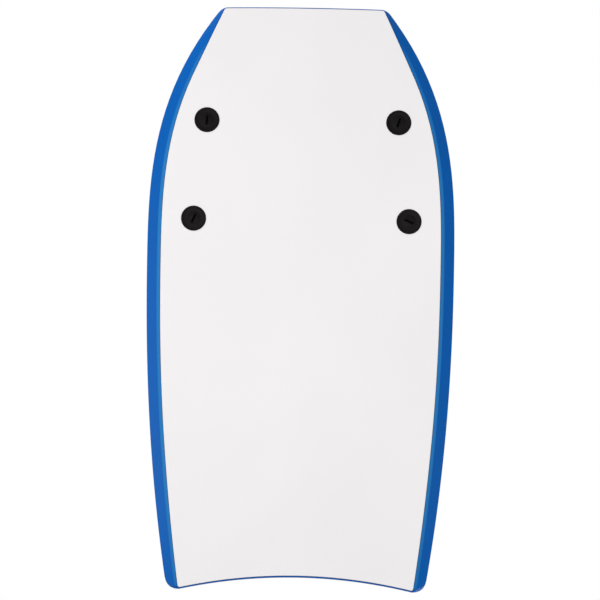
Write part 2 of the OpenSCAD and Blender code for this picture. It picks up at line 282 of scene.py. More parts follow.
def plug_axis(node):
    """Axis (upwards) and centre of a plug part, from the faces that look along the axis."""
    mesh = NODES[node].data
    axis = Vector()
    centre = Vector()
    area = 0
    for polygon in mesh.polygons:
        if polygon.normal.z > 0.5:
            axis += polygon.normal*polygon.area
            centre += polygon.center*polygon.area
            area += polygon.area
    return axis.normalized(), centre/area


def plug_place(node, up):
    """Frame on a disc's outer face: Z out of the face, X across the board."""
    axis, centre = plug_axis(node)
    out = axis if up else -axis
    reach = max((v.co - centre).dot(out) for v in NODES[node].data.vertices)
    across = (Vector((1, 0, 0)) - out*out.x).normalized()
    along = out.cross(across)
    place = Matrix((across, along, out)).transposed().to_4x4()
    place.translation = centre + out*reach
    return place


def handle_place(side, end):
    """Frame on a handle's swing line, midway between its clamps: Y towards that end's plug."""
    joint = next(j for j in frame["joints"] if j["child"] == "handle_" + side)
    run = Vector(joint["axis"]).normalized()
    run = run if run.y*end > 0 else -run
    up = (Vector((0, 0, 1)) - run*run.z).normalized()
    across = run.cross(up)
    place = Matrix((across, run, up)).transposed().to_4x4()
    place.translation = Vector(joint["pos_m"])
    return place


# ---------------------------------------------------------------- materials

def linear(hex_colour):
    """An sRGB hex colour as linear RGBA."""
    parts = [int(hex_colour[k:k + 2], 16)/255 for k in (1, 3, 5)]
    return [c/12.92 if c <= 0.04045 else ((c + 0.055)/1.055)**2.4 for c in parts] + [1]


def add_node(tree, kind, links=(), inputs=(), **settings):
    """Add a node, set its settings and input values, and link its inputs."""
    node = tree.nodes.new(kind)
    for key, value in settings.items():
        setattr(node, key, value)
    for socket, value in dict(inputs).items():
        node.inputs[socket].default_value = value
    for socket, source in dict(links).items():
        tree.links.new(source, node.inputs[socket])
    return node


def new_material(name):
    material = bpy.data.materials.get(name)
    if material:
        return material, None, None
    material = bpy.data.materials.new(name)
    material.use_nodes = True
    tree = material.node_tree
    tree.nodes.clear()
    shader = add_node(tree, "ShaderNodeBsdfPrincipled")
    add_node(tree, "ShaderNodeOutputMaterial", links={"Surface": shader.outputs["BSDF"]})
    return material, tree, shader


def own_place(tree):
    """Where a point lies on the object, in metres."""
    return add_node(tree, "ShaderNodeTexCoord").outputs["Object"]


def tint(colour, share):
    """A colour made brighter (positive) or darker (negative) by a share of itself."""
    return [min(1, c*(1 + share)) for c in colour[:3]] + [1]


def shades(tree, factor, *stops):
    """A colour ramp through (position, colour) stops."""
    ramp = add_node(tree, "ShaderNodeValToRGB", links={"Fac": factor})
    elements = ramp.color_ramp.elements
    while len(elements) < len(stops):
        elements.new(0.5)
    for element, (position, colour) in zip(elements, stops):
        element.position = position
        element.color = colour
    return ramp.outputs["Color"]


def spread(tree, factor, low, high):
    """A 0 to 1 pattern as a number between low and high."""
    node = add_node(tree, "ShaderNodeMapRange", links={"Value": factor},
                    inputs={"To Min": low, "To Max": high})
    return node.outputs["Result"]


def relief(tree, height, distance, below=None):
    """A bump from a height pattern, in metres, on top of another bump."""
    links = {"Height": height}
    if below is not None:
        links["Normal"] = below
    node = add_node(tree, "ShaderNodeBump", links=links,
                    inputs={"Strength": 1, "Distance": distance})
    return node.outputs["Normal"]


def hdpe_slick():
    """Extruded HDPE sheet, heat-laminated: even off-white with a soft sheen, a trace of the
    roller's long waves, and an orange-peel skin that only breaks the highlight."""
    material, tree, shader = new_material("extruded_hdpe_white")
    if tree is None:
        return material
    place = own_place(tree)
    white = linear(colours().slick)
    cloud = add_node(tree, "ShaderNodeTexNoise", links={"Vector": place},
                     inputs={"Scale": 3.2, "Detail": 3, "Roughness": 0.45}).outputs["Fac"]
    colour = shades(tree, cloud, (0.30, tint(white, -0.035)), (0.72, white))
    tree.links.new(colour, shader.inputs["Base Color"])
    scuff = add_node(tree, "ShaderNodeTexNoise", links={"Vector": place},
                     inputs={"Scale": 26, "Detail": 6, "Roughness": 0.6}).outputs["Fac"]
    tree.links.new(spread(tree, scuff, 0.30, 0.46), shader.inputs["Roughness"])
    # Orange peel about 1.5 mm across, and press waves about 90 mm long
    peel = add_node(tree, "ShaderNodeTexNoise", links={"Vector": place},
                    inputs={"Scale": 650, "Detail": 1.5, "Roughness": 0.4}).outputs["Fac"]
    waves = add_node(tree, "ShaderNodeTexNoise", links={"Vector": place},
                     inputs={"Scale": 11, "Detail": 1, "Roughness": 0.3}).outputs["Fac"]
    long_bump = relief(tree, waves, 0.0012)
    tree.links.new(relief(tree, peel, 0.00006, long_bump), shader.inputs["Normal"])
    shader.inputs["IOR"].default_value = 1.53
    shader.inputs["Specular IOR Level"].default_value = 0.38
    return material


def pe_foam(name, colour, grain, depth, rough, specular):
    """Closed-cell polyethylene foam with a rolled skin: saturated through-colour, fine pebbling
    from the cells under the skin, painted paler on the pebbles' crowns and darker between them as
    painted shade."""
    material, tree, shader = new_material(name)
    if tree is None:
        return material
    place = own_place(tree)
    base = linear(colour)
    cloud = add_node(tree, "ShaderNodeTexNoise", links={"Vector": place},
                     inputs={"Scale": 7, "Detail": 4, "Roughness": 0.55}).outputs["Fac"]
    cells = add_node(tree, "ShaderNodeTexVoronoi", links={"Vector": place},
                     inputs={"Scale": 1/grain, "Randomness": 1}).outputs["Distance"]
    fine = add_node(tree, "ShaderNodeTexNoise", links={"Vector": place},
                    inputs={"Scale": 2.6/grain, "Detail": 2, "Roughness": 0.5}).outputs["Fac"]
    broad = shades(tree, cloud, (0.28, tint(base, -0.12)), (0.75, tint(base, 0.03)))
    # Paler on the pebbles' crowns, darker in the dips between them: painted shade
    pebble_shade = shades(tree, cells, (0.0, tint(base, 0.05)), (0.65, tint(base, -0.10)))
    mixed = add_node(tree, "ShaderNodeMix", data_type="RGBA", inputs={0: 0.35},
                     links={6: broad, 7: pebble_shade})
    tree.links.new(mixed.outputs[2], shader.inputs["Base Color"])
    tree.links.new(spread(tree, fine, rough - 0.07, rough + 0.09), shader.inputs["Roughness"])
    pebbles = relief(tree, cells, -depth)
    tree.links.new(relief(tree, fine, depth*0.6, pebbles), shader.inputs["Normal"])
    shader.inputs["IOR"].default_value = 1.5
    shader.inputs["Specular IOR Level"].default_value = specular
    return material


def rail_foam():
    """Skinned PE foam, pebbles about 1.4 mm across, satin from the hot weld roller. Faces that look
    down, such as the bevel beside the slick, are painted paler: a painted highlight from the light
    below."""
    name = "skinned_pe_foam_blue"
    if name in bpy.data.materials:
        return bpy.data.materials[name]
    material = pe_foam(name, colours().rail, 0.0014, 0.00007, 0.5, 0.04)
    tree = material.node_tree
    shader = next(n for n in tree.nodes if n.type == "BSDF_PRINCIPLED")
    skin = shader.inputs["Base Color"].links[0].from_socket
    # Faces that look down get the paler bevel colour: a painted highlight where the light from below
    # falls, not a colour of the foam
    down = add_node(tree, "ShaderNodeSeparateXYZ", links={
        "Vector": add_node(tree, "ShaderNodeTexCoord").outputs["Normal"]}).outputs["Z"]
    painted_highlight = add_node(tree, "ShaderNodeMapRange", links={"Value": down},
                      inputs={"From Min": -0.66, "From Max": -0.78})
    mixed = add_node(tree, "ShaderNodeMix", data_type="RGBA",
                     inputs={7: linear(colours().bevel)},
                     links={0: painted_highlight.outputs["Result"], 6: skin})
    tree.links.new(mixed.outputs[2], shader.inputs["Base Color"])
    return material


def seam_shade_foam():
    # The same PE foam along the weld beside the slick, painted darker as painted shade in the weld
    # groove, and glossier
    return pe_foam("heat_welded_pe_foam_navy", "#0B4373", 0.0009, 0.00004, 0.4, 0.15)


def deck_foam():
    # Crosslinked PE foam embossed for grip, pebbles about 2.2 mm across, matt
    return pe_foam("embossed_ixpe_foam_blue", colours().deck, 0.0022, 0.00022, 0.66, 0.32)


def underlay_foam():
    # Unskinned crosslinked PE foam, cells about 1 mm across, chalky
    return pe_foam("crosslinked_pe_foam_white", "#E4E4E2", 0.001, 0.0001, 0.8, 0.25)


def eps_beads():
    """Steam-moulded EPS: round beads about 3.5 mm across, pressed flat against each other,
    with darker joints."""
    material, tree, shader = new_material("moulded_eps_beads")
    if tree is None:
        return material
    place = own_place(tree)
    bead = add_node(tree, "ShaderNodeTexVoronoi", feature="DISTANCE_TO_EDGE",
                    links={"Vector": place}, inputs={"Scale": 285}).outputs["Distance"]
    tree.links.new(shades(tree, bead, (0.0, linear("#D9D9D4")), (0.12, linear("#F7F7F4"))),
                   shader.inputs["Base Color"])
    tree.links.new(relief(tree, bead, 0.0006), shader.inputs["Normal"])
    shader.inputs["Roughness"].default_value = 0.62
    shader.inputs["IOR"].default_value = 1.55
    return material


def moulded_nylon():
    """Injection-moulded black nylon: near-black, satin, with the fine spark-eroded texture of
    the mould and slightly greyer worn high spots."""
    material, tree, shader = new_material("moulded_nylon_black")
    if tree is None:
        return material
    place = own_place(tree)
    base = linear(colours().plug)
    grit = add_node(tree, "ShaderNodeTexNoise", links={"Vector": place},
                    inputs={"Scale": 1500, "Detail": 2, "Roughness": 0.6}).outputs["Fac"]
    wear = add_node(tree, "ShaderNodeTexNoise", links={"Vector": place},
                    inputs={"Scale": 170, "Detail": 4, "Roughness": 0.6}).outputs["Fac"]
    tree.links.new(shades(tree, wear, (0.35, tint(base, -0.15)), (0.75, tint(base, 0.02))),
                   shader.inputs["Base Color"])
    tree.links.new(spread(tree, wear, 0.30, 0.44), shader.inputs["Roughness"])
    tree.links.new(relief(tree, grit, 0.00003), shader.inputs["Normal"])
    shader.inputs["IOR"].default_value = 1.53
    shader.inputs["Specular IOR Level"].default_value = 0.06
    return material


def slot_shade_nylon():
    """The same nylon inside the coin slot, with the mould's coarse spark-eroded finish, painted
    near-black there as painted shade in the slot, so it reads as a black slit."""
    material, tree, shader = new_material("coarse_moulded_nylon_black")
    if tree is None:
        return material
    place = own_place(tree)
    grit = add_node(tree, "ShaderNodeTexNoise", links={"Vector": place},
                    inputs={"Scale": 900, "Detail": 3, "Roughness": 0.7}).outputs["Fac"]
    # Near-black: painted shade in the slot, darker than the plug's own nylon
    tree.links.new(shades(tree, grit, (0.3, linear("#050505")), (0.8, linear("#0C0B0B"))),
                   shader.inputs["Base Color"])
    tree.links.new(relief(tree, grit, 0.0001), shader.inputs["Normal"])
    shader.inputs["Roughness"].default_value = 0.9
    shader.inputs["IOR"].default_value = 1.53
    shader.inputs["Specular IOR Level"].default_value = 0.02
    return material


def woven_webbing():
    """Heavy polypropylene webbing, plain weave: warp ribs along the strap crossed by weft every
    few threads, drawn 2 mm apart, dull black with a dry glint on the crowns, and painted darker in
    the hollows between threads as painted shade."""
    material, tree, shader = new_material("woven_pp_webbing_black")
    if tree is None:
        return material
    uv = add_node(tree, "ShaderNodeUVMap", uv_map="weave").outputs["UV"]
    parts = add_node(tree, "ShaderNodeSeparateXYZ", links={"Vector": uv})
    # The map is in metres: U across the strap and V along it
    ribs = add_node(tree, "ShaderNodeMath", operation="MULTIPLY", inputs={1: math.tau/0.0021},
                    links={0: parts.outputs["X"]}).outputs[0]
    picks = add_node(tree, "ShaderNodeMath", operation="MULTIPLY", inputs={1: math.pi/0.0017},
                     links={0: parts.outputs["Y"]}).outputs[0]
    rib = add_node(tree, "ShaderNodeMath", operation="SINE", links={0: ribs}).outputs[0]
    pick_wave = add_node(tree, "ShaderNodeMath", operation="SINE", links={0: picks}).outputs[0]
    over = add_node(tree, "ShaderNodeMath", operation="MULTIPLY",
                    links={0: rib, 1: pick_wave}).outputs[0]
    crowns = add_node(tree, "ShaderNodeMapRange", links={"Value": over},
                      inputs={"From Min": -1, "From Max": 1}).outputs["Result"]
    base = linear(colours().webbing)
    # Darker where the weave dips: painted shade in the hollows between threads
    tree.links.new(shades(tree, crowns, (0.15, tint(base, -0.45)), (0.85, tint(base, 0.03))),
                   shader.inputs["Base Color"])
    tree.links.new(spread(tree, crowns, 0.86, 0.62), shader.inputs["Roughness"])
    place = own_place(tree)
    fuzz = add_node(tree, "ShaderNodeTexNoise", links={"Vector": place},
                    inputs={"Scale": 2400, "Detail": 2}).outputs["Fac"]
    weave = relief(tree, crowns, 0.00045)
    tree.links.new(relief(tree, fuzz, 0.00006, weave), shader.inputs["Normal"])
    shader.inputs["Sheen Weight"].default_value = 0.15
    shader.inputs["Sheen Roughness"].default_value = 0.5
    shader.inputs["IOR"].default_value = 1.49
    return material


def knit_neoprene():
    """Nylon-faced neoprene: close knit ribs round the grip, drawn 1.2 mm apart, soft and
    non-reflecting with a grey sheen at grazing angles."""
    material, tree, shader = new_material("knit_faced_neoprene_black")
    if tree is None:
        return material
    place = own_place(tree)
    rows = add_node(tree, "ShaderNodeTexWave", wave_type="BANDS", bands_direction="Y",
                    links={"Vector": place},
                    inputs={"Scale": 262, "Distortion": 0.8, "Detail": 1}).outputs["Fac"]
    loops = add_node(tree, "ShaderNodeTexVoronoi", links={"Vector": place},
                     inputs={"Scale": 900, "Randomness": 0.4}).outputs["Distance"]
    height = add_node(tree, "ShaderNodeMath", operation="SUBTRACT",
                      links={0: rows, 1: loops}).outputs[0]
    base = linear(colours().grip)
    # Darker where the knit dips: painted shade between the loops and rows
    tree.links.new(shades(tree, height, (0.1, tint(base, -0.45)), (0.8, tint(base, 0.04))),
                   shader.inputs["Base Color"])
    tree.links.new(relief(tree, height, 0.00022), shader.inputs["Normal"])
    shader.inputs["Roughness"].default_value = 0.82
    shader.inputs["Sheen Weight"].default_value = 0.3
    shader.inputs["Sheen Roughness"].default_value = 0.4
    shader.inputs["IOR"].default_value = 1.45
    return material


def woven_tape():
    """Polyester grosgrain binding tape: fine cross ribs, drawn 1 mm apart, black, faint sheen."""
    material, tree, shader = new_material("grosgrain_tape_black")
    if tree is None:
        return material
    place = own_place(tree)
    ribs = add_node(tree, "ShaderNodeTexWave", wave_type="BANDS", bands_direction="DIAGONAL",
                    links={"Vector": place}, inputs={"Scale": 310}).outputs["Fac"]
    base = linear(colours().webbing)
    # Darker between the ribs: painted shade in the grooves of the weave
    tree.links.new(shades(tree, ribs, (0.1, tint(base, -0.4)), (0.9, tint(base, 0.04))),
                   shader.inputs["Base Color"])
    tree.links.new(relief(tree, ribs, 0.0002), shader.inputs["Normal"])
    shader.inputs["Roughness"].default_value = 0.7
    shader.inputs["Sheen Weight"].default_value = 0.2
    shader.inputs["IOR"].default_value = 1.54
    return material


def bonded_thread():
    """Bonded polyester sewing thread, two-ply: dark grey, waxy, with a fine twist."""
    material, tree, shader = new_material("bonded_polyester_thread")
    if tree is None:
        return material
    place = own_place(tree)
    twist = add_node(tree, "ShaderNodeTexWave", wave_type="BANDS", bands_direction="DIAGONAL",
                     links={"Vector": place}, inputs={"Scale": 900}).outputs["Fac"]
    # Lighter and darker bands along the twist: painted shade in the grooves between the plies
    tree.links.new(shades(tree, twist, (0.1, linear("#3A3B40")), (0.9, linear("#5B5C62"))),
                   shader.inputs["Base Color"])
    tree.links.new(relief(tree, twist, 0.00008), shader.inputs["Normal"])
    shader.inputs["Roughness"].default_value = 0.5
    shader.inputs["IOR"].default_value = 1.57
    return material


# ---------------------------------------------------------------- board

FRONT_STATION = 0.4965   # the board's profile runs in straight strips between these two places
REAR_STATION = -0.4785
STRIPS = 48


def round_along(strip, ends, degrees, offset, segments=2):
    """Round the long edges of a strip of foam that are sharper than an angle, and leave its
    two cut ends (which face along one axis) sharp."""
    edit(strip)
    pick("edges", lambda e: len(e.link_faces) == 2
         and e.calc_face_angle(0) > math.radians(degrees)
         and all(abs(f.normal[ends]) < 0.8 for f in e.link_faces))
    bpy.ops.mesh.bevel(offset=offset, segments=segments, profile=0.5, clamp_overlap=False)
    close_edit()


def trim_round(sheet, facing, offset):
    """Round the outer rim of a sheet's broad face, and leave its holes as cut."""
    spots = plug_spots()
    edit(sheet)
    pick("edges", lambda e: len(e.link_faces) == 2
         and max(f.normal.z*facing for f in e.link_faces) > 0.9
         and min(abs(f.normal.z) for f in e.link_faces) < 0.3
         and any(abs(f.normal.z) < 0.3 and (f.normal.x*f.calc_center_median().x
                 + f.normal.y*f.calc_center_median().y*0.25) > 0 and
                 min((f.calc_center_median().xy - spot).length for spot in spots)
                 > 0.027 for f in e.link_faces))
    bpy.ops.mesh.bevel(offset=offset, segments=2, profile=0.5, clamp_overlap=False)
    close_edit()


def plug_spots():
    return [plug_axis("plug_base_" + corner)[1].xy for corner in CORNERS]


def even_shading(sheet, facing):
    """Shade a sheet's broad face as one curve along the board and not strip by strip."""
    mesh = sheet.data
    length = (FRONT_STATION - REAR_STATION)/STRIPS
    heights = [None]*(STRIPS + 1)
    for vertex in mesh.vertices:
        place = (vertex.co.y - REAR_STATION)/length
        k = round(place)
        if 0 <= k <= STRIPS and abs(place - k)*length < 0.0003:
            z = vertex.co.z*facing
            heights[k] = z if heights[k] is None else max(heights[k], z)
    slopes = [(b - a)*facing/length for a, b in zip(heights, heights[1:])]

    def slope_at(y):
        place = (y - REAR_STATION)/length - 0.5
        k = min(STRIPS - 2, max(0, math.floor(place)))
        share = min(1, max(0, place - k))
        return slopes[k] + (slopes[k + 1] - slopes[k])*share

    normals = [corner.vector.copy() for corner in mesh.corner_normals]
    for polygon in mesh.polygons:
        if polygon.normal.z*facing > 0.9:
            for k in polygon.loop_indices:
                slope = slope_at(mesh.vertices[mesh.loops[k].vertex_index].co.y)
                normals[k] = (Vector((0, -slope, 1))*facing).normalized()
    mesh.normals_split_custom_set(normals)


def weld_line(strip, ends, offset):
    """Press a groove where a strip is welded to the slick, and paint it darker: painted shade in the
    groove.
    """
    # The second material is painted shade along the weld groove
    paint(strip, rail_foam(), seam_shade_foam())
    edit(strip)
    pick("edges", lambda e: len(e.link_faces) == 2
         and min(f.normal.z for f in e.link_faces) < -0.2
         and all(abs(f.normal[ends]) < 0.8 for f in e.link_faces)
         and any(abs(f.normal.z) < 0.3 and f.normal.xy.dot(f.calc_center_median().xy) < 0
                 for f in e.link_faces))
    bpy.ops.mesh.bevel(offset=offset, segments=1, clamp_overlap=False)
    paint_picked(strip)


class BODYBOARD_OT_foam_core(bpy.types.Operator):
    """Give the hidden bead core and the underlay their foams"""
    bl_idname = "bodyboard.foam_core"
    bl_label = "Core and underlay"

    def execute(self, context):
        for node, material in (("core", eps_beads()), ("bottom_foam", underlay_foam())):
            slots = NODES[node].material_slots
            if not slots:
                raise RuntimeError(node + " has no material slot")
            for slot in slots:
                slot.material = material
        return {"FINISHED"}


class BODYBOARD_OT_slick(bpy.types.Operator):
    """Make the slick bottom sheet with its trimmed, slightly rounded edge"""
    bl_idname = "bodyboard.slick"
    bl_label = "Slick bottom"

    def execute(self, context):
        sheet = merged_copy("slick_skin", "slick_bottom")
        trim_round(sheet, -1, sizes().seam_round*0.8)
        smooth(sheet, 35)
        even_shading(sheet, -1)
        fit_out(sheet, "board", "slick", hdpe_slick(), "slick_skin")
        return {"FINISHED"}


class BODYBOARD_OT_deck(bpy.types.Operator):
    """Make the embossed deck sheet with its welded edge"""
    bl_idname = "bodyboard.deck"
    bl_label = "Deck"

    def execute(self, context):
        sheet = merged_copy("deck_skin", "deck_sheet")
        trim_round(sheet, 1, sizes().seam_round*1.5)
        smooth(sheet, 35)
        even_shading(sheet, 1)
        fit_out(sheet, "board", "deck_foam", deck_foam(), "deck_skin")
        return {"FINISHED"}


class BODYBOARD_OT_rails(bpy.types.Operator):
    """Make the rail strips, creased along the chine and rounded at their weld lines"""
    bl_idname = "bodyboard.rails"
    bl_label = "Rails, nose and tail strips"

    def execute(self, context):
        for side in SIDES:
            lower = merged_copy("rail_lower_" + side, "rail_lower_strip_" + side, True)
            self.crease_chine(lower)
            weld_line(lower, 1, 1.1*MM)
            smooth(lower, 32)
            fit_out(lower, "board", "rail_foam", None, "rail_lower_" + side)
            upper = merged_copy("rail_upper_" + side, "rail_upper_strip_" + side, True)
            round_along(upper, 1, 60, 1.5*sizes().seam_round, 3)
            smooth(upper, 32)
            fit_out(upper, "board", "rail_foam", rail_foam(), "rail_upper_" + side)
        for end in ("nose", "tail"):
            strip = merged_copy(end + "_strip", end + "_weld_strip", True)
            weld_line(strip, 0, 0.9*MM)
            round_along(strip, 0, 50, sizes().seam_round)
            smooth(strip, 32)
            fit_out(strip, "board", "rail_foam", None, end + "_strip")
        return {"FINISHED"}

    def crease_chine(self, strip):
        """Crease the line between the bevel beside the slick and the outer rail face."""
        edit(strip)
        pick("edges", lambda e: len(e.link_faces) == 2
             and all(f.normal.z < -0.25 for f in e.link_faces)
             and math.radians(7) < e.calc_face_angle(0) < math.radians(35)
             and abs((e.verts[1].co - e.verts[0].co).normalized().x) < 0.85
             and all(v.co.y < 0.405 for v in e.verts))
        bpy.ops.mesh.bevel(offset=sizes().chine_round, segments=2, profile=0.5,
                           clamp_overlap=False)
        close_edit()


# ---------------------------------------------------------------- plugs

DISC_RADIUS = 0.02225


def step(inset, rise):
    """Inset the selected face and move what is inside it along the plug."""
    bpy.ops.mesh.inset(thickness=inset)
    if rise:
        bpy.ops.transform.translate(value=(0, 0, rise))


def disc_with_shank(name, radius, thickness, shank_radius, shank_length):
    """A dished disc, its outer face on z = 0 and looking up, with a shank under it."""
    bpy.ops.mesh.primitive_cylinder_add(vertices=96, radius=radius, depth=thickness,
                                        end_fill_type="NGON", location=(0, 0, -thickness/2))
    disc = named(name)
    apply_place(disc)
    edit(disc)
    pick("edges", lambda e: all(v.co.z > -0.0001 for v in e.verts))
    bpy.ops.mesh.bevel(offset=0.0011, segments=5, profile=0.5)
    pick("faces", lambda f: len(f.verts) > 60 and f.normal.z > 0.9)
    step(1.0*MM, 0)
    step(0.35*MM, -0.42*MM)
    step(0.8*MM, 0)
    step(0.35*MM, -0.45*MM)
    # The dish falls gently towards the hub
    step(2.4*MM, -0.16*MM)
    step(2.6*MM, -0.12*MM)
    step(radius - 1.1*MM - 7.5*MM - 10.4*MM, -0.04*MM)
    step(0.5*MM, 0.36*MM)
    step(0.35*MM, 0.1*MM)
    pick("faces", lambda f: len(f.verts) > 60 and f.normal.z < -0.9)
    bpy.ops.mesh.inset(thickness=radius - shank_radius)
    bpy.ops.mesh.extrude_region_move(
        TRANSFORM_OT_translate={"value": (0, 0, -shank_length)})
    close_edit()
    return disc


def stadium(name, length, width, low, high):
    """A round-ended bar between two heights, along X."""
    bpy.ops.mesh.primitive_cube_add(size=1, location=(0, 0, (low + high)/2))
    bar = named(name)
    bar.scale = (length, width, high - low)
    apply_place(bar)
    edit(bar)
    pick("edges", lambda e: abs(e.verts[0].co.z - e.verts[1].co.z) > (high - low)*0.9)
    bpy.ops.mesh.bevel(offset=width*0.46, segments=8, profile=0.5)
    close_edit()
    return bar


def rounded_top(bar, offset):
    edit(bar)
    top = max(v.co.z for v in bar.data.vertices)
    pick("edges", lambda e: all(v.co.z > top - 0.00001 for v in e.verts))
    bpy.ops.mesh.bevel(offset=offset, segments=3, profile=0.5)
    close_edit()


class BODYBOARD_OT_plug_bases(bpy.types.Operator):
    """Make the four slick-side plug discs, each with a raised coin slot"""
    bl_idname = "bodyboard.plug_bases"
    bl_label = "Slick-side plugs"

    def execute(self, context):
        disc = disc_with_shank("plug_pattern", DISC_RADIUS, 0.0032, 0.0054, 0.0455)
        length, width = sizes().slot_length, sizes().slot_width
        lip = stadium("slot_lip", length + 3*MM, width + 3.2*MM, -1.6*MM, -0.05*MM)
        rounded_top(lip, 0.6*MM)
        modifier(disc, "BOOLEAN", operation="UNION", solver="EXACT", object=lip)
        cutter = stadium("slot_cutter", length, width, -2.9*MM, 2*MM)
        modifier(disc, "BOOLEAN", operation="DIFFERENCE", solver="EXACT", object=cutter)
        modifier(disc, "BEVEL", width=0.00022, segments=2, limit_method="ANGLE",
                 angle_limit=math.radians(50))
        discard(lip, cutter)
        smooth(disc, 38)
        paint(disc, moulded_nylon(), slot_shade_nylon())
        # The walls and floor of the slot are left coarse, and painted near-black as painted shade in
        # the slot
        edit(disc)
        pick("faces", lambda f: self.in_slot(f.calc_center_median(), length, width))
        paint_picked(disc)
        turns = {"front_right": -85, "front_left": -70, "rear_right": -65, "rear_left": 22}
        for corner in CORNERS:
            node = "plug_base_" + corner
            place = plug_place(node, False)
            # Seen from outside the disc, a turn about the plug's own axis runs the other way
            spun = place @ Matrix.Rotation(-math.radians(turns[corner]), 4, "Z")
            plug = settle(twin(disc, "slick_plug_" + corner), spun)
            fit_out(plug, "board", "plug", None, node)
        discard(disc)
        return {"FINISHED"}

    def in_slot(self, spot, length, width):
        return (abs(spot.x) < length/2 + 0.2*MM and abs(spot.y) < width/2 + 0.05*MM
                and -2.95*MM < spot.z < -0.35*MM)


class BODYBOARD_OT_plug_caps(bpy.types.Operator):
    """Make the four deck-side plug discs, dished round a plain hub"""
    bl_idname = "bodyboard.plug_caps"
    bl_label = "Deck-side plugs"

    def execute(self, context):
        disc = disc_with_shank("cap_pattern", DISC_RADIUS, 0.0032, 0.008, 0.0495)
        edit(disc)
        pick("faces", lambda f: len(f.verts) > 60 and f.normal.z > 0.9)
        step(1.5*MM, 0)
        step(0.3*MM, -0.35*MM)
        step(3.2*MM, -0.1*MM)
        close_edit()
        # Six shallow pads round the hub, where a thumb holds the disc while the coin turns
        pad = stadium("thumb_pad", 0.0046, 0.0026, -1.6*MM, -0.35*MM)
        rounded_top(pad, 0.45*MM)
        settle(pad, Matrix.Translation((0.0142, 0, 0)))
        ring = [settle(twin(pad, "thumb_pad_copy"), Matrix.Rotation(math.tau*k/12, 4, "Z"))
                for k in range(12)]
        discard(pad)
        pads = joined("thumb_pads", *ring)
        modifier(disc, "BOOLEAN", operation="UNION", solver="EXACT", object=pads)
        discard(pads)
        smooth(disc, 38)
        for corner in CORNERS:
            node = "plug_cap_" + corner
            plug = settle(twin(disc, "deck_plug_" + corner), plug_place(node, True))
            fit_out(plug, "board", "plug", moulded_nylon(), node)
        discard(disc)
        return {"FINISHED"}


# ---------------------------------------------------------------- handles

CLAMP = 0.0872365        # from the handle's middle to a plug's axis
FOOT = CLAMP - 0.02375   # where the webbing leaves the deck
FOOT_DROP = 0.00072      # the deck falls away that much below the clamp line
UNDER_PLUG = 0.0155      # the webbing runs on past the plug's axis
GRIP_LAP = 0.012         # and into the grip
FOLD_START = 0.003       # height at which its edges start to fold under
FOLD_END = 0.62          # share of the handle's height by which they are folded double
FOLD_TURN = math.radians(172)
GATHER = 0.6             # share by which a half-folded edge is gathered in


def ease(t):
    return t*t*(3 - 2*t)


def webbing_line(samples=400):
    """The webbing's middle line from the plug's far side to inside the grip: (y, z) points."""
    crown = sizes().grip_length/2
    rise = sizes().handle_height + FOOT_DROP
    end = CLAMP + UNDER_PLUG
    flat = [end - (end - FOOT)*k/100 for k in range(100)]
    line = [(y, -FOOT_DROP*(CLAMP - y)/(CLAMP - FOOT)) for y in flat]
    for k in range(samples + 1):
        t = k/samples
        line.append((FOOT - (FOOT - crown)*t, rise*ease(t) - FOOT_DROP))
    for k in range(1, 60):
        line.append((crown - GRIP_LAP*k/59, sizes().handle_height))
    return line


def along(line, rows):
    """Evenly spaced (y, z, slope) stations on a line, and its length."""
    reach = [0]
    for a, b in zip(line, line[1:]):
        reach.append(reach[-1] + math.dist(a, b))
    total = reach[-1]
    stations = []
    k = 0
    for row in range(rows + 1):
        goal = total*row/rows
        while k < len(reach) - 2 and reach[k + 1] < goal:
            k += 1
        a, b = line[k], line[k + 1]
        t = (goal - reach[k])/max(reach[k + 1] - reach[k], 1e-12)
        slope = math.atan2(b[1] - a[1], a[0] - b[0])
        stations.append((a[0] + (b[0] - a[0])*t, a[1] + (b[1] - a[1])*t, slope))
    return stations, total


def fold_at(z):
    """How far the webbing's outer quarters are folded under, 0 flat to 1 folded double."""
    return ease(min(1, max(0, (z - FOLD_START)/(sizes().handle_height*FOLD_END))))


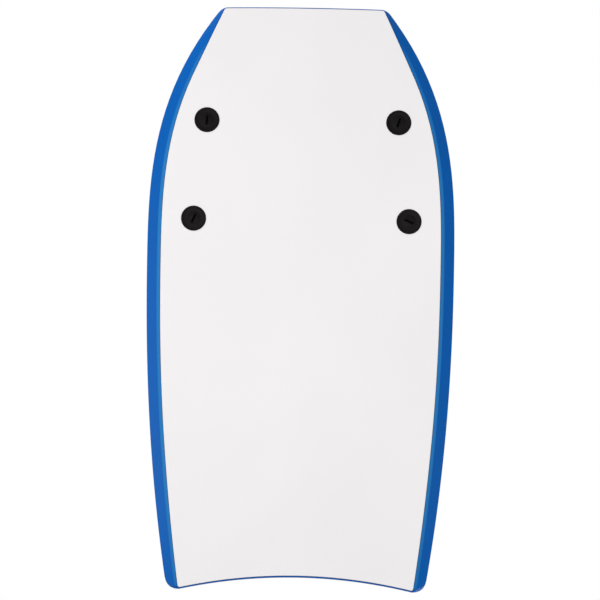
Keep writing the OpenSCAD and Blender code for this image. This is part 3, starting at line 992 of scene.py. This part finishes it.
class BODYBOARD_OT_webbing(bpy.types.Operator):
    """Make the four webbing runs: flat under the plug, then folded double up into the grip"""
    bl_idname = "bodyboard.webbing"
    bl_label = "Handle webbing"

    def execute(self, context):
        rows, columns = 72, 12
        width, thickness = sizes().webbing_width, sizes().webbing_thickness
        stations, total = along(webbing_line(), rows)
        bpy.ops.mesh.primitive_grid_add(x_subdivisions=columns, y_subdivisions=rows, size=1,
                                        location=(0, 0, 0))
        strap = named("webbing_pattern")
        strap.scale = (width, total, 1)
        apply_place(strap)
        weave = strap.data.uv_layers[0]
        weave.name = "weave"
        for loop in weave.data:
            loop.uv = (loop.uv[0]*width, loop.uv[1]*total)
        edit(strap)
        bpy.ops.mesh.select_mode(type="VERT")
        mesh = strap.data
        bm = bmesh.from_edit_mesh(mesh)
        lines = {}
        for vertex in bm.verts:
            lines.setdefault(round((vertex.co.y/total + 0.5)*rows), []).append(vertex)
        quarter = width/4
        bend_radius = thickness*0.55
        for row, (y, z, slope) in enumerate(stations):
            # Each cross-thread is carried to its station, then its outer quarters fold under
            for vertex in bm.verts:
                vertex.select_set(False)
            for vertex in lines[row]:
                vertex.select_set(True)
            bm.select_flush_mode()
            old = total*(row/rows - 0.5)
            bpy.ops.transform.translate(value=(0, y - old, z))
            turn = fold_at(z)*FOLD_TURN
            for vertex in lines[row]:
                x = vertex.co.x
                # Half folded, the edge is gathered in, so that it doesn't hang as a flap
                over = (abs(x) - quarter)*(1 - GATHER*math.sin(turn))
                if over > 0 and turn > 0:
                    arc = min(over, bend_radius*turn)
                    angle = arc/bend_radius
                    out = bend_radius*math.sin(angle) + (over - arc)*math.cos(turn)
                    under = bend_radius*(1 - math.cos(angle)) + (over - arc)*math.sin(turn)
                    vertex.co.x = math.copysign(quarter + out, x)
                    vertex.co.y -= under*math.sin(slope)
                    vertex.co.z -= under*math.cos(slope)
        bmesh.update_edit_mesh(mesh)
        close_edit()
        edit(strap)
        bpy.ops.mesh.select_all(action="SELECT")
        bpy.ops.mesh.normals_make_consistent(inside=False)
        close_edit()
        if sum(p.normal.z*p.area for p in strap.data.polygons) < 0:
            edit(strap)
            bpy.ops.mesh.select_all(action="SELECT")
            bpy.ops.mesh.flip_normals()
            close_edit()
        modifier(strap, "SOLIDIFY", thickness=thickness, offset=0, use_even_offset=False)
        modifier(strap, "BEVEL", width=0.0006, segments=2, limit_method="ANGLE",
                 angle_limit=math.radians(60))
        smooth(strap, 50)
        thread = self.edge_stitches(strap, stations, width)
        paint(strap, woven_webbing())
        strap = joined("webbing_pattern", strap, thread)
        for side in SIDES:
            for end, word in ((1, "front"), (-1, "rear")):
                place = handle_place(side, end)
                run = settle(twin(strap, "webbing_" + word + "_" + side), place)
                node = "strap_end_" + word + "_" + side
                nodes = [node, "handle_strap_" + side] if end > 0 else [node]
                fit_out(run, None, "webbing", None, *nodes)
                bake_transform(run)
        discard(strap)
        return {"FINISHED"}

    def edge_stitches(self, strap, stations, width):
        """Two rows of lock stitches down the folded part of a run."""
        bpy.ops.mesh.primitive_uv_sphere_add(segments=6, ring_count=4, radius=1)
        stitch = named("stitch_pattern")
        stitches = []
        rows = [k for k, (y, z, slope) in enumerate(stations)
                if z > 0.016 and y > sizes().grip_length/2 + 0.0012]
        for k in rows[::2]:
            y, z, slope = stations[k]
            for side in (-1, 1):
                one = twin(stitch, "stitch")
                one.scale = (0.00042, 0.00115, 0.00034)
                one.rotation_euler = (-slope, 0, 0)
                lift = sizes().webbing_thickness*0.56
                one.location = (side*0.0055, y + math.sin(slope)*lift,
                                z + math.cos(slope)*lift)
                stitches.append(one)
        discard(stitch)
        thread = joined("webbing_thread", *stitches)
        apply_place(thread)
        bpy.ops.object.shade_smooth()
        paint(thread, bonded_thread())
        return thread


class BODYBOARD_OT_grips(bpy.types.Operator):
    """Make the two padded grips: foam in a sewn neoprene tube with bound ends"""
    bl_idname = "bodyboard.grips"
    bl_label = "Padded grips"

    def execute(self, context):
        pad = self.padding()
        binding = self.bindings()
        thread = self.seam_thread()
        for side in SIDES:
            place = handle_place(side, 1) @ Matrix.Translation((0, 0, sizes().handle_height))
            body = "handle_" + side
            grip = settle(twin(pad, "grip_pad_" + side), place)
            fit_out(grip, body, "grip", knit_neoprene(), "handle_grip_" + side)
            ends = settle(twin(binding, "grip_binding_" + side), place)
            fit_out(ends, body, "grip", None)
            sewn = settle(twin(thread, "grip_stitches_" + side), place)
            fit_out(sewn, body, "grip", None)
        discard(pad, binding, thread)
        return {"FINISHED"}

    def padding(self):
        """The pad in its cover, swollen by its foam and pulled in at the bound ends."""
        radius = sizes().grip_diameter/2
        length = sizes().grip_length
        bpy.ops.mesh.primitive_cylinder_add(vertices=32, radius=radius - 1.5*MM,
                                            depth=length - 1.5*MM, end_fill_type="NGON",
                                            rotation=(math.pi/2, 0, 0))
        pad = named("pad_pattern")
        apply_place(pad)
        edit(pad)
        pick("faces", lambda f: abs(f.normal.y) > 0.9)
        bpy.ops.mesh.inset(thickness=3*MM)
        bpy.ops.mesh.inset(thickness=3*MM)
        end = length/2 - 0.76*MM
        pick("edges", lambda e: all(abs(v.co.y) > end - 0.1*MM and
                                    math.hypot(v.co.x, v.co.z) > radius - 1.8*MM
                                    for v in e.verts))
        bpy.ops.mesh.bevel(offset=2.6*MM, segments=3, profile=0.5)
        close_edit()
        modifier(pad, "REMESH", mode="VOXEL", voxel_size=2.6*MM, use_smooth_shade=True)
        rest = [v.co.copy() for v in pad.data.vertices]
        only(pad)
        bpy.ops.object.modifier_add(type="CLOTH")
        cloth = pad.modifiers[-1]
        cloth.settings.use_pressure = True
        cloth.settings.uniform_pressure_force = 4
        cloth.settings.effector_weights.gravity = 0
        cloth.settings.quality = 5
        cloth.point_cache.frame_start = 1
        cloth.point_cache.frame_end = 20
        for number in range(1, 21):
            bpy.context.scene.frame_set(number)
        bpy.ops.object.modifier_apply(modifier=cloth.name)
        bpy.context.scene.frame_set(1)
        cap = 1.1*MM
        for vertex, start in zip(pad.data.vertices, rest):
            move = vertex.co - start
            if move.length > cap:
                vertex.co = start + move*(cap/move.length)
        for vertex in pad.data.vertices:
            # The foam core is a little fuller at the palm, and the seam draws the underside in
            share = 1 - (vertex.co.y/(length/2))**2
            below = math.exp(-(vertex.co.x/0.0022)**2) if vertex.co.z < 0 else 0
            swell = 1 + 0.035*share - 0.075*below*min(1, 3*share)
            vertex.co.x *= swell
            vertex.co.z *= swell
        modifier(pad, "SUBSURF", levels=1, render_levels=1)
        only(pad)
        bpy.ops.object.shade_smooth()
        return pad

    def bindings(self):
        """A folded binding tape sewn round each mouth of the cover."""
        radius = sizes().grip_diameter/2
        tapes = []
        for end in (-1, 1):
            bpy.ops.mesh.primitive_cylinder_add(vertices=64, radius=radius - 0.35*MM,
                                                depth=6.5*MM, end_fill_type="NOTHING",
                                                rotation=(math.pi/2, 0, 0),
                                                location=(0, 0, 0))
            tape = named("binding_tape")
            apply_place(tape)
            edit(tape)
            bpy.ops.mesh.select_all(action="SELECT")
            bpy.ops.mesh.subdivide(number_cuts=3)
            # Towards the mouth the tape is drawn in over the pad's round end
            for reach, share in ((0.9, 0.80), (2.6, 0.955)):
                pick("verts", lambda v: v.co.y > (3.25 - reach)*MM)
                bpy.ops.transform.resize(value=(share, 1, share))
            close_edit()
            modifier(tape, "SOLIDIFY", thickness=0.9*MM, offset=0)
            modifier(tape, "BEVEL", width=0.3*MM, segments=2, limit_method="ANGLE",
                     angle_limit=math.radians(60))
            smooth(tape, 40)
            turned = Matrix.Rotation(0 if end > 0 else math.pi, 4, "Z")
            shift = Matrix.Translation((0, end*(sizes().grip_length/2 - 3.6*MM), 0))
            tapes.append(settle(tape, shift @ turned))
        binding = joined("binding_pattern", *tapes)
        paint(binding, woven_tape())
        return binding

    def seam_thread(self):
        """Stitches along the underside seam and round each binding."""
        radius = sizes().grip_diameter/2
        half = sizes().grip_length/2
        bpy.ops.mesh.primitive_uv_sphere_add(segments=6, ring_count=4, radius=1)
        stitch = named("stitch_pattern")
        stitches = []
        pitch = 3.4*MM
        count = int((2*half - 16*MM)/pitch)
        for k in range(count + 1):
            for side in (-1, 1):
                one = twin(stitch, "stitch")
                one.scale = (0.4*MM, 1.2*MM, 0.36*MM)
                y = (k - count/2)*pitch
                share = 1 - (y/half)**2
                one.location = (side*2.9*MM, y, -(radius - 0.62*MM)*(1 + 0.02*share))
                stitches.append(one)
        for end in (-1, 1):
            for k in range(28):
                angle = math.tau*k/28
                one = twin(stitch, "stitch")
                one.scale = (1.05*MM, 0.38*MM, 0.34*MM)
                one.rotation_euler = (0, math.pi/2 - angle, 0)
                reach = radius + 0.1*MM
                one.location = (reach*math.cos(angle), end*(half - 5.4*MM),
                                reach*math.sin(angle))
                stitches.append(one)
        discard(stitch)
        thread = joined("seam_pattern", *stitches)
        apply_place(thread)
        bpy.ops.object.shade_smooth()
        paint(thread, bonded_thread())
        return thread


# ---------------------------------------------------------------- studio

VIEW_WIDTH = 1.0690      # how much of the board's plane the camera takes in
CAMERA_ROLL = 0.93       # degrees that the board leans in the frame
CAMERA_DROP = 1.8*MM     # how far the camera stands behind the board's middle


def softbox(name, place, target, size, power):
    bpy.ops.object.light_add(type="AREA", location=place)
    lamp = bpy.context.object
    lamp.name = name
    lamp.data.shape = "RECTANGLE"
    lamp.data.size, lamp.data.size_y = size
    lamp.data.energy = power
    lamp.rotation_euler = (Vector(target) - Vector(place)).to_track_quat("-Z", "Y").to_euler()


class BODYBOARD_OT_stage(bpy.types.Operator):
    """Set the pale floor, soft studio light and the camera square on to the slick"""
    bl_idname = "bodyboard.stage"
    bl_label = "Studio"

    def execute(self, context):
        scene = context.scene
        scene.view_settings.view_transform = "Standard"
        low, high = CAD_BOX
        middle = (Vector(low) + Vector(high))/2

        bpy.ops.mesh.primitive_plane_add(size=9, location=(0, 0, low[2] - 0.0006))
        floor = named("studio_floor")
        material, tree, shader = new_material("painted_studio_floor")
        place = own_place(tree)
        cloud = add_node(tree, "ShaderNodeTexNoise", links={"Vector": place},
                         inputs={"Scale": 1.4, "Detail": 3}).outputs["Fac"]
        tree.links.new(shades(tree, cloud, (0.3, linear("#E9E9E8")), (0.7, linear("#ECECEB"))),
                       shader.inputs["Base Color"])
        shader.inputs["Roughness"].default_value = 0.75
        # The floor has an upper side only, so the board can be seen from underneath
        clear = add_node(tree, "ShaderNodeBsdfTransparent")
        side = add_node(tree, "ShaderNodeNewGeometry").outputs["Backfacing"]
        one_sided = add_node(tree, "ShaderNodeMixShader",
                             links={0: side, 1: shader.outputs["BSDF"],
                                    2: clear.outputs["BSDF"]})
        output = next(n for n in tree.nodes if n.type == "OUTPUT_MATERIAL")
        tree.links.new(one_sided.outputs["Shader"], output.inputs["Surface"])
        floor.data.materials.append(material)
        floor.visible_shadow = False
        floor.visible_diffuse = False
        floor.visible_glossy = False
        floor.visible_transmission = False

        world = bpy.data.worlds.new("studio_light")
        world.use_nodes = True
        tree = world.node_tree
        tree.nodes.clear()
        # White where it is seen, and a softer fill where it lights
        seen = add_node(tree, "ShaderNodeBackground",
                        inputs={"Color": (1, 1, 1, 1), "Strength": 1.0})
        fill = add_node(tree, "ShaderNodeBackground",
                        inputs={"Color": (1, 1, 1, 1), "Strength": 0.52})
        ray = add_node(tree, "ShaderNodeLightPath").outputs["Is Camera Ray"]
        mix = add_node(tree, "ShaderNodeMixShader",
                       links={0: ray, 1: fill.outputs["Background"],
                              2: seen.outputs["Background"]})
        add_node(tree, "ShaderNodeOutputWorld", links={"Surface": mix.outputs["Shader"]})
        scene.world = world

        # Under the board: a broad box towards the rider's right, which the slick faces
        softbox("under_key", (0.7, 0.0, -2.8), (0, 0, 0), (1.8, 1.8), 26)
        softbox("under_fill", (-1.4, -0.5, -2.4), (0, 0, 0), (1.6, 2.4), 12)
        softbox("side_key", (2.0, 2.2, -1.3), (0.1, 0.35, 0), (1.2, 1.2), 25)
        # Over the deck: a key high on the left, a low fill and a strip behind the nose
        softbox("deck_key", (-1.8, -1.4, 2.6), (0, 0, 0), (1.6, 1.6), 60)
        softbox("deck_fill", (2.2, -0.6, 1.6), (0, 0, 0), (1.6, 1.6), 22)
        softbox("deck_rim", (0.4, 2.4, 1.7), (0, 0, 0), (2.2, 0.7), 30)

        bpy.ops.object.camera_add()
        camera = context.object
        camera.name = "square_on_camera"
        camera.data.type = "PERSP"
        camera.data.lens = 800
        camera.data.sensor_width = 36
        distance = VIEW_WIDTH*camera.data.lens/camera.data.sensor_width
        camera.data.clip_start, camera.data.clip_end = 1, 60
        roll = Matrix.Rotation(math.radians(CAMERA_ROLL), 4, "Z")
        upward = Matrix.Rotation(math.pi, 4, "Y")
        place = Matrix.Translation((middle.x, middle.y - CAMERA_DROP, -distance))
        camera.matrix_world = place @ upward @ roll
        scene.camera = camera
        return {"FINISHED"}


# ---------------------------------------------------------------- panel and registration

STEPS = (BODYBOARD_OT_foam_core, BODYBOARD_OT_slick, BODYBOARD_OT_deck, BODYBOARD_OT_rails,
         BODYBOARD_OT_plug_bases, BODYBOARD_OT_plug_caps, BODYBOARD_OT_webbing,
         BODYBOARD_OT_grips, BODYBOARD_OT_stage)


class BODYBOARD_PT_panel(bpy.types.Panel):
    """Sizes, colours and building steps of the bodyboard"""
    bl_idname = "BODYBOARD_PT_panel"
    bl_label = "Bodyboard"
    bl_space_type = "VIEW_3D"
    bl_region_type = "UI"
    bl_category = "Bodyboard"

    def draw(self, context):
        for group in (context.scene.bodyboard_sizes, context.scene.bodyboard_colours):
            box = self.layout.box()
            for name in group.bl_rna.properties.keys():
                if name not in ("rna_type", "name"):
                    box.prop(group, name)
        column = self.layout.column()
        for operator in STEPS:
            column.operator(operator.bl_idname)


CLASSES = (BodyboardSizes, BodyboardColours, *STEPS, BODYBOARD_PT_panel)


def register():
    for each in CLASSES:
        bpy.utils.register_class(each)
    bpy.types.Scene.bodyboard_sizes = bpy.props.PointerProperty(type=BodyboardSizes)
    bpy.types.Scene.bodyboard_colours = bpy.props.PointerProperty(type=BodyboardColours)


def unregister():
    del bpy.types.Scene.bodyboard_colours
    del bpy.types.Scene.bodyboard_sizes
    for each in reversed(CLASSES):
        bpy.utils.unregister_class(each)


def main():
    register()
    bpy.ops.object.select_all(action="DESELECT")
    bpy.ops.bodyboard.foam_core()
    bpy.ops.bodyboard.slick()
    bpy.ops.bodyboard.deck()
    bpy.ops.bodyboard.rails()
    bpy.ops.bodyboard.plug_bases()
    bpy.ops.bodyboard.plug_caps()
    bpy.ops.bodyboard.webbing()
    bpy.ops.bodyboard.grips()
    bpy.ops.bodyboard.stage()


if __name__ == "__main__":
    main()
